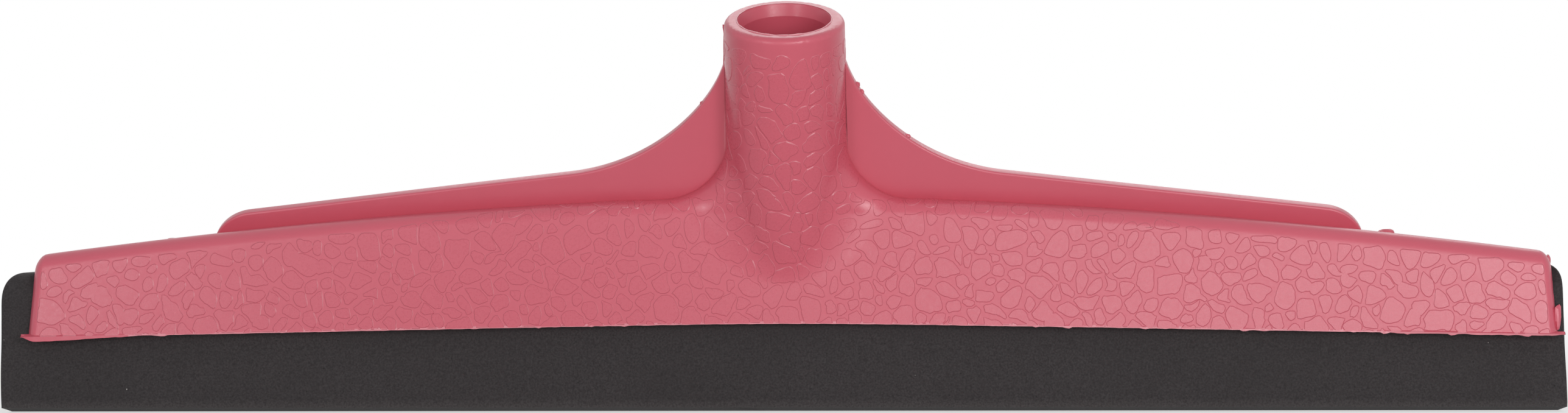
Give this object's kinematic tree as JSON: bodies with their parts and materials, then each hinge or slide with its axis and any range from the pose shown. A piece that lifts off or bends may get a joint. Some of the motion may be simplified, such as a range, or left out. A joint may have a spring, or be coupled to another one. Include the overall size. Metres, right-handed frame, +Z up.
{
  "type": "floor squeegee",
  "caption": "Floor squeegee head: a moulded housing with a leaning handle socket and side fins, and an open-ended channel that holds a folded foam blade on a core strip.",
  "frame": {"origin": "on the floor under the middle of the housing, midway between the two lips that the blade stands on", "axes": "+X along the blade, -Y to the front, towards which the socket leans, +Z up"},
  "size_m": [0.45, 0.0598, 0.1181],
  "materials": {
    "housing": "satin, pebble relief on the walls",
    "foam": "matte closed-cell foam",
    "core": "satin"
  },
  "bodies": {
    "housing": {"housing": "housing"},
    "blade": {"foam_blade": "foam"},
    "core": {"core_strip": "core"}
  },
  "joints": [
    {"name": "blade_slide", "type": "slide", "parent": "housing", "child": "blade", "axis": [1, 0, 0], "range_m": [-0.45, 0.45]},
    {"name": "core_slide", "type": "slide", "parent": "blade", "child": "core", "axis": [1, 0, 0], "range_m": [-0.44, 0.44]}
  ]
}
